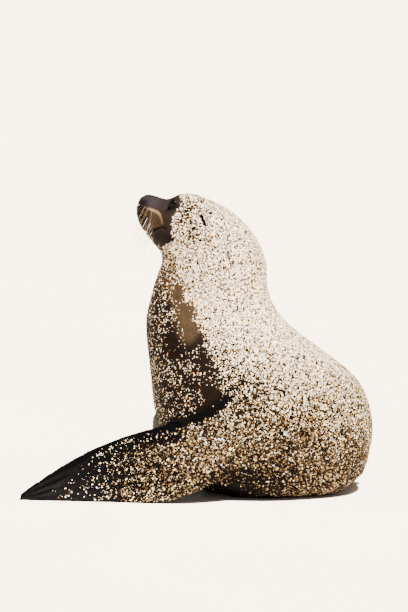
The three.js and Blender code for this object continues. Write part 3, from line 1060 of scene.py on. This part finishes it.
def tuftTree(cover):
    tree, group, out = coatTree("tufts by " + cover, ("Length", "Width"))
    points, spread = rootsOnSkin(tree, group, cover)
    points = storeName(tree, points, "shade", randomNumber(tree, 0.0, 1.0, 14))
    blade = result(tree, "GeometryNodeMeshCone", {"Vertices": 3, "Side Segments": 2, "Radius Top": 0.0,
                                                  "Radius Bottom": 0.5, "Depth": 1.0}, fill_type="NGON")
    parts = addNode(tree, "ShaderNodeSeparateXYZ", {0: result(tree, "GeometryNodeInputPosition")}).outputs
    along = parts["Z"]
    # rounded towards the tip, and bent back down to the skin
    bend = combine(tree, 0.0, times(tree, maths(tree, "POWER", along, 2.0), -tuftLook["droop"]), 0.0)
    upPatch = maths(tree, "SUBTRACT", times(tree, along, 2.0), 1.0)
    patchAt = combine(tree, times(tree, parts["X"], 2.0), upPatch, 0.0)
    blade = storeName(tree, blade, "patch", patchAt, "FLOAT_VECTOR")
    blade = result(tree, "GeometryNodeSetPosition", {"Geometry": blade, "Offset": bend})
    normal = spread.outputs["Normal"]
    sway = vectors(tree, "SCALE", randomVector(tree, -1.0, 1.0, 15), tuftLook["sway"])
    heading = vectors(tree, "ADD", vectors(tree, "ADD", readName(tree, "lie", "FLOAT_VECTOR"), sway),
                      vectors(tree, "SCALE", normal, tuftLook["lift"]))
    turn = result(tree, "FunctionNodeAlignRotationToVector", {"Vector": heading}, axis="Z")
    turn = result(tree, "FunctionNodeAlignRotationToVector", {"Rotation": turn, "Vector": normal}, axis="Y",
                  pivot_axis="Z")
    scale = times(tree, randomNumber(tree, 0.7, 1.25, 16), readName(tree, "furSize"))
    size = combine(tree, times(tree, group["Width"], scale),
                   times(tree, group["Width"], times(tree, scale, 0.6)), times(tree, group["Length"], scale))
    tufts = result(tree, "GeometryNodeInstanceOnPoints",
                   {"Points": points, "Instance": blade, "Rotation": turn, "Scale": size})
    coat = dropNames(tree, finishCoat(tree, group, tufts), "furCover", "faceCover", "furSize")
    tree.links.new(coat, out["Geometry"])
    return tree


# whiskers

def makeWhiskers():
    look = whiskerLook
    rng = np.random.default_rng(look["seed"])
    surface = surfaceTree(skin.data)
    unwrap = skin.data.uv_layers["OFBake"].data
    tubes = bmesh.new()
    places, tints = [], []
    steps, sides = look["steps"], look["sides"]
    angles = np.linspace(0, 2 * math.pi, sides, endpoint=False)
    for side in (-1, 1):
        for root, row, place in whiskerRoots(side):
            start, normal, under, _ = surface.find_nearest(Vector(inModel(root)))
            loops = skin.data.polygons[under].loop_indices
            rootPlace = np.mean([unwrap[loop].uv for loop in loops], axis=0)
            forward = 1 - place / (look["perRow"] - 1)
            low, high = look["length"]
            length = (low + (high - low) * (0.30 + 0.70 * (1 - forward)) * rng.uniform(0.75, 1.05)) * mm
            lean = np.array([0.12 - 0.35 * forward, side * 0.22, -0.75 - 0.10 * row])
            heading = np.array(normal) * 0.75 + lean
            heading = unitVector(heading + rng.normal(0, look["scatter"], 3))
            drop = np.array([0.05 - 0.15 * forward, 0, -1.0]) * rng.uniform(0.25, 0.60)
            rings = []
            for step in range(steps + 1):
                t = step / steps
                centre = np.array(start) - heading * look["buried"] * mm + heading * length * t
                centre = centre + drop * length * t * t * look["sag"]
                along = unitVector(heading + drop * 1.1 * t)
                one = unitVector(np.cross(along, [0.2, 0.9, 0.1]))
                two = np.cross(along, one)
                wide = look["base"] * mm * (1 - look["taper"] * t)
                rings.append([tubes.verts.new(centre + one * math.cos(a) * wide + two * math.sin(a) * wide)
                              for a in angles])
                places += [rootPlace + rootPatch / 2 * np.array([math.cos(a), 2 * t - 1]) for a in angles]
            joinRings(tubes, rings)
            tints += [rng.uniform(0, 1)] * ((steps + 1) * sides)
    bmesh.ops.recalc_face_normals(tubes, faces=tubes.faces)
    mesh = bpy.data.meshes.new("whiskers")
    tubes.to_mesh(mesh)
    tubes.free()
    addValues(mesh, "shade", tints)
    layer = mesh.uv_layers.new(name="OFBake")
    for loop in mesh.loops:
        layer.data[loop.index].uv = places[loop.vertex_index]
    smoothShade(mesh)
    return newObject("whiskers", mesh)


# materials

def newMaterial(name):
    material = bpy.data.materials.new(name)
    material.use_nodes = True
    tree = material.node_tree
    return material, tree, tree.nodes["Principled BSDF"]


def ramp(tree, factor, stops, interpolation="LINEAR"):
    made = addNode(tree, "ShaderNodeValToRGB", {"Fac": factor})
    made.color_ramp.interpolation = interpolation
    points = made.color_ramp.elements
    while len(points) < len(stops):
        points.new(0.5)
    for point, (place, code) in zip(points, stops):
        point.position = place
        point.color = hexToLinear(code)
    return made.outputs["Color"]


def raised(tree, height, strength, metres, sunk=False, **under):
    inputs = dict(Height=height, Strength=strength, Distance=metres, **under)
    return result(tree, "ShaderNodeBump", inputs, invert=sunk)


def dress(tree, shader, colour, rough, specular=None, relief=None):
    # colour and roughness, how much it shines, and its relief as height, strength and depth in metres
    tree.links.new(colour, shader.inputs["Base Color"])
    tree.links.new(rough, shader.inputs["Roughness"])
    if specular is not None:
        shader.inputs["Specular IOR Level"].default_value = specular
    if relief:
        tree.links.new(raised(tree, *relief), shader.inputs["Normal"])


def attribute(tree, name, output="Fac"):
    return addNode(tree, "ShaderNodeAttribute", attribute_name=name).outputs[output]


def objectPlace(tree):
    return addNode(tree, "ShaderNodeTexCoord").outputs["Object"]


def perSize(millimetres):
    # how many repeats a metre holds
    return 1000 / millimetres


def blend(tree, factor, first, second, mode="MIX"):
    inputs = {0: factor, 6: first, 7: second}
    return addNode(tree, "ShaderNodeMix", inputs, data_type="RGBA", blend_type=mode).outputs[2]


def darken(tree, amount, colour, factor, stops):
    return blend(tree, amount, colour, ramp(tree, factor, stops), "MULTIPLY")


def noiseField(tree, millimetres, detail=2.0, place=None, rough=0.5):
    inputs = {"Vector": place or objectPlace(tree), "Scale": perSize(millimetres), "Detail": detail,
              "Roughness": rough}
    return addNode(tree, "ShaderNodeTexNoise", inputs).outputs["Fac"]


def scaled(tree, value, low, high):
    return result(tree, "ShaderNodeMapRange", {"Value": value, "To Min": low, "To Max": high})


# dry sand is mostly white shell; lower down it is damp, ochre and black
drySand = [(0.0, "#050302"), (0.09, "#2c1a0b"), (0.13, "#7a5328"), (0.17, "#bf9254"), (0.24, "#f0d9ae"),
           (0.42, "#fff5e2")]
dampSand = [(0.0, "#030202"), (0.26, "#19120b"), (0.40, "#5f4a2e"), (0.63, "#98805a"), (0.84, "#dac9a4"),
            (0.95, "#f8f0de")]


def sandColour(tree, pick, dry):
    return blend(tree, dry, ramp(tree, pick, dampSand, "CONSTANT"), ramp(tree, pick, drySand, "CONSTANT"))


def isDry(tree, chance, white):
    return maths(tree, "GREATER_THAN", maths(tree, "ADD", chance, white), 1.0)


def furMaterial():
    # short wet fur: dark, close-lying hairs with a low sheen, dulled by fine sand between them
    material, tree, shader = newMaterial("wet fur with sand in it")
    place = objectPlace(tree)
    fur = attribute(tree, "furColour", "Color")
    streak = noiseField(tree, 1.1, 3.0, place, 0.6)
    cloud = noiseField(tree, 26, 3.0, place)
    fur = darken(tree, 1.0, fur, streak, [(0.30, "#8f8f8f"), (0.70, "#ffffff")])
    fur = darken(tree, 0.5, fur, cloud, [(0.3, "#b4aca4"), (0.7, "#ffffff")])
    # painted grains between the mesh ones, in the same tones
    cells = addNode(tree, "ShaderNodeTexVoronoi", {"Vector": place, "Scale": perSize(3.0), "Randomness": 1.0})
    pick, other, chance = addNode(tree, "ShaderNodeSeparateColor", {0: cells.outputs["Color"]}).outputs
    white = attribute(tree, "sandWhite")
    packed = sandColour(tree, pick, isDry(tree, chance, white))
    # painted shade: each painted grain darker towards its edge, where grains shade one another
    packed = darken(tree, 0.35, packed, cells.outputs["Distance"], [(0.15, "#ffffff"), (0.75, "#3a2f24")])
    cover = attribute(tree, "sandCover")
    settled = maths(tree, "LESS_THAN", other, scaled(tree, cover, -0.02, 0.80))
    gap = sandGap(tree, cells.outputs["Position"], white)
    settled = times(tree, settled, maths(tree, "SUBTRACT", 1.0, gap))
    wetter = scaled(tree, attribute(tree, "bare"), 0.0, 0.08)
    rough = maths(tree, "SUBTRACT", scaled(tree, streak, 0.46, 0.66), wetter)
    rough = maths(tree, "ADD", rough, scaled(tree, settled, 0.0, 0.30))
    dress(tree, shader, blend(tree, settled, fur, packed), rough, 0.03)
    shader.inputs["IOR"].default_value = 1.5
    # hairs, wrinkles and grit, each raised on the one before
    fine = raised(tree, streak, 0.5, 0.0006)
    wrinkle = raised(tree, noiseField(tree, 6, 4.0, place, 0.6), 0.35, 0.0012, Normal=fine)
    grit = raised(tree, times(tree, cells.outputs["Distance"], settled), 0.6, 0.0010, True, Normal=wrinkle)
    tree.links.new(grit, shader.inputs["Normal"])
    return material


def sandMaterial():
    # coarse shell sand: crumbs of white shell and coral with a few of brown and black lava
    material, tree, shader = newMaterial("coarse shell sand")
    chance = attribute(tree, "shade")
    colour = sandColour(tree, attribute(tree, "grain"), isDry(tree, chance, attribute(tree, "white")))
    colour = darken(tree, 1.0, colour, chance, [(0.0, "#cfc4b6"), (0.5, "#ffffff")])
    speck = noiseField(tree, 0.8)
    colour = darken(tree, 0.25, colour, speck, [(0.35, "#a8977c"), (0.6, "#ffffff")])
    dress(tree, shader, colour, scaled(tree, speck, 0.55, 0.85), 0.2, (speck, 0.4, 0.0003))
    return material


def tuftMaterial():
    # locks of wet fur, paler towards the ones that have dried
    material, tree, shader = newMaterial("short fur tufts")
    colour = attribute(tree, "furColour", "Color")
    colour = darken(tree, 1.0, colour, attribute(tree, "shade"), [(0.0, "#a29a92"), (0.7, "#ffffff")])
    hairs = noiseField(tree, 0.9)
    colour = darken(tree, 0.5, colour, hairs, [(0.3, "#8a8580"), (0.7, "#ffffff")])
    dress(tree, shader, colour, scaled(tree, hairs, 0.50, 0.70), 0.03, (hairs, 0.4, 0.0004))
    return material


def whiskerMaterial():
    # stiff horn-coloured bristles, each its own tone from dark brown to pale cream
    material, tree, shader = newMaterial("whisker bristle")
    tones = [(0.0, "#15100e"), (0.4, "#3e2f25"), (0.7, "#a08565"), (1.0, "#ede2d0")]
    rough = scaled(tree, noiseField(tree, 1.5), 0.28, 0.42)
    dress(tree, shader, ramp(tree, attribute(tree, "shade"), tones), rough)
    return material


def eyeMaterial():
    # large dark wet eye: deep brown iris round a black pupil, under a clear cornea
    material, tree, shader = newMaterial("wet dark eye")
    fibres = noiseField(tree, 0.9, 3.0)
    place = maths(tree, "ADD", attribute(tree, "fromPupil"), scaled(tree, fibres, -0.05, 0.05))
    tones = [(0.0, "#010101"), (0.55, "#020202"), (0.62, "#050303"), (0.93, "#080504"), (1.0, "#020202")]
    tree.links.new(ramp(tree, place, tones), shader.inputs["Base Color"])
    for name, value in (("Roughness", 0.22), ("IOR", 1.38), ("Specular IOR Level", 0.05),
                        ("Coat Weight", 0.05), ("Coat Roughness", 0.03)):
        shader.inputs[name].default_value = value
    return material


def clawMaterial():
    # worn dark horn, its tone varying with a fine grain
    material, tree, shader = newMaterial("claw horn")
    grain = noiseField(tree, 2.2, 3.0)
    colour = ramp(tree, grain, [(0.3, "#1d1712"), (0.55, "#3c2f24"), (0.8, "#6b5743")])
    dress(tree, shader, colour, scaled(tree, grain, 0.3, 0.5), None, (grain, 0.3, 0.0003))
    return material


skin.data.materials.append(furMaterial())
wetEye, horn = eyeMaterial(), clawMaterial()
for ball in eyes.values():
    ball.data.materials.append(wetEye)
for name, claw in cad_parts.items():
    if name.startswith("hind_claw"):
        claw.data.materials.clear()
        claw.data.materials.append(horn)
print("materials made")


def coverWithFur(mesh):
    p = readPlaces(mesh)
    face = faceFree(p)
    bareFlipper = bareSkin(p) * (1 - face)
    cover = (1 - nosePad(p)) * (1 - 0.92 * bareFlipper)
    cover = cover * fade(14.5, 18, eyesAway(p)) * fade(9, 13, p[:, 2])
    cover *= 1 - bell(awayXZ(p, faceLines["mouth"]), 2.5) * face
    cover *= 1 - earShade(p)
    addValues(mesh, "furCover", cover * (1 - face))
    addValues(mesh, "faceCover", cover * face)
    addValues(mesh, "furSize", 1 - 0.45 * face - 0.4 * bareFlipper)


def addCoat():
    coverWithFur(skin.data)
    sand = coatPieces("sand", sandTree(), sandLook, sandMaterial(), 21)
    fur = tuftMaterial()
    tufts = coatPieces("fur", tuftTree("furCover"), tuftLook, fur, 34)
    tufts += coatPieces("face_fur", tuftTree("faceCover"), faceLook, fur, 35)
    whiskers = makeWhiskers()
    whiskers.data.materials.append(whiskerMaterial())
    for piece in sand + tufts + [whiskers]:
        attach(piece, "root")
        piece.data.calc_loop_triangles()
        unwraps = [layer.name for layer in piece.data.uv_layers]
        print(piece.name, len(piece.data.loop_triangles), "triangles", unwraps)


addCoat()


# floor, light and air

stageLook = {"floor": "#e6dacb", "floorReach": 60, "air": "#dfe6ee", "airStrength": 0.5, "sun": 35.0,
             "sunColour": "#fff2e0", "softness": 4, "from": (0.34, -0.25, 0.91)}


def makeStage():
    mesh = bpy.data.meshes.new("floor")
    reach = stageLook["floorReach"]
    corners = [(-reach, -reach, 0), (reach, -reach, 0), (reach, reach, 0), (-reach, reach, 0)]
    mesh.from_pydata(corners, [], [(0, 1, 2, 3)])
    floor = newObject("floor", mesh)
    material, tree, shader = newMaterial("plain pale floor")
    shade = noiseField(tree, 900, 2.0)
    tones = ramp(tree, shade, [(0.3, "#b9ada0"), (0.7, "#ffffff")])
    floorColour = blend(tree, 0.06, hexToLinear(stageLook["floor"]), tones)
    tree.links.new(floorColour, shader.inputs["Base Color"])
    shader.inputs["Roughness"].default_value = 0.9
    mesh.materials.append(material)
    lamp = bpy.data.lights.new("key", "SUN")
    lamp.energy = stageLook["sun"]
    lamp.angle = math.radians(stageLook["softness"])
    lamp.color = hexToLinear(stageLook["sunColour"])[:3]
    key = newObject("key", lamp)
    key.rotation_euler = Vector(stageLook["from"]).to_track_quat("Z", "Y").to_euler()
    world = bpy.data.worlds.new("air")
    world.use_nodes = True
    air = world.node_tree.nodes["Background"]
    air.inputs["Color"].default_value = hexToLinear(stageLook["air"])
    air.inputs["Strength"].default_value = stageLook["airStrength"]
    bpy.context.scene.world = world


makeStage()
print("stage made")
